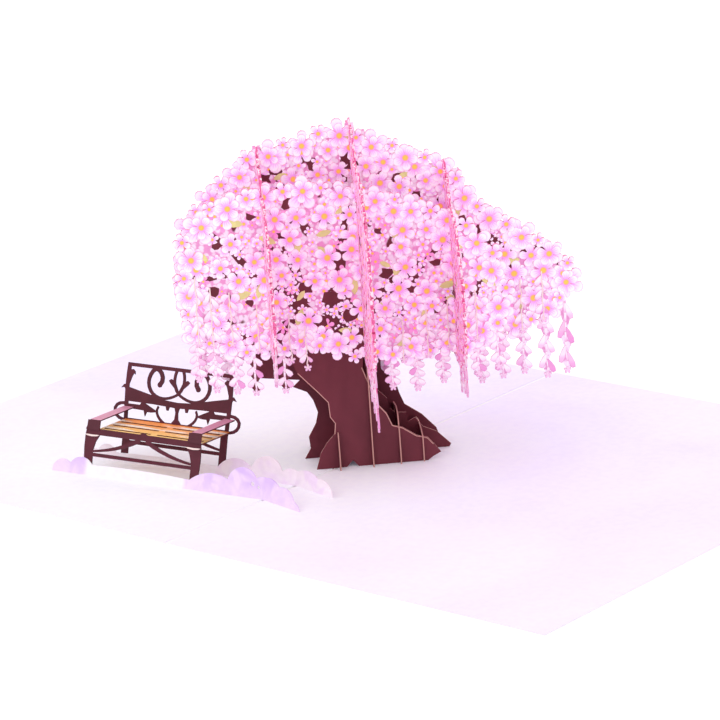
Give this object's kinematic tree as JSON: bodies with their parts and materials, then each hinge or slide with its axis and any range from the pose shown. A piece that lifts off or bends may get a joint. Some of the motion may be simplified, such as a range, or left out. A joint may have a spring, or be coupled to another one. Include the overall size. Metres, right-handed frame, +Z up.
{
  "type": "pop up greeting card",
  "caption": "Opened pop up card: a slotted lattice of printed card stands up as a blossom tree, with a park bench on two low hill strips across the fold.",
  "frame": {"origin": "middle of the underside of the opened cover", "axes": "+X across the opened card, to the right of its fold; +Y along the fold, away from the front edge; +Z up"},
  "size_m": [0.3, 0.2, 0.1136],
  "materials": {
    "tree_print": "matt printed card, pink blossoms over a dark red-brown trunk",
    "root_print": "matt printed card, dark red-brown bark",
    "white_card": "smooth white card",
    "page_print": "matt paper printed with a pale lavender and pink wash",
    "hill_print": "matt printed card, lavender and cream",
    "slat_print": "matt printed card, orange slats",
    "bench_print": "matt printed card, dark red-brown"
  },
  "bodies": {
    "root": {"tree_front_sheet": "tree_print", "tree_middle_sheet": "tree_print", "tree_back_sheet": "tree_print", "tree_cross_sheet": "tree_print", "crown_cross_left": "tree_print", "crown_cross_right": "tree_print", "root_cross_left": "root_print", "root_cross_right": "root_print", "root_cross_end": "root_print", "cover": "white_card", "left_page": "page_print", "right_page": "page_print", "front_hill_strip": "hill_print", "back_hill_strip": "hill_print", "bench_seat": "slat_print", "bench_left_arm": "bench_print", "bench_right_arm": "bench_print", "bench_front": "bench_print", "bench_back": "bench_print"}
  },
  "joints": []
}
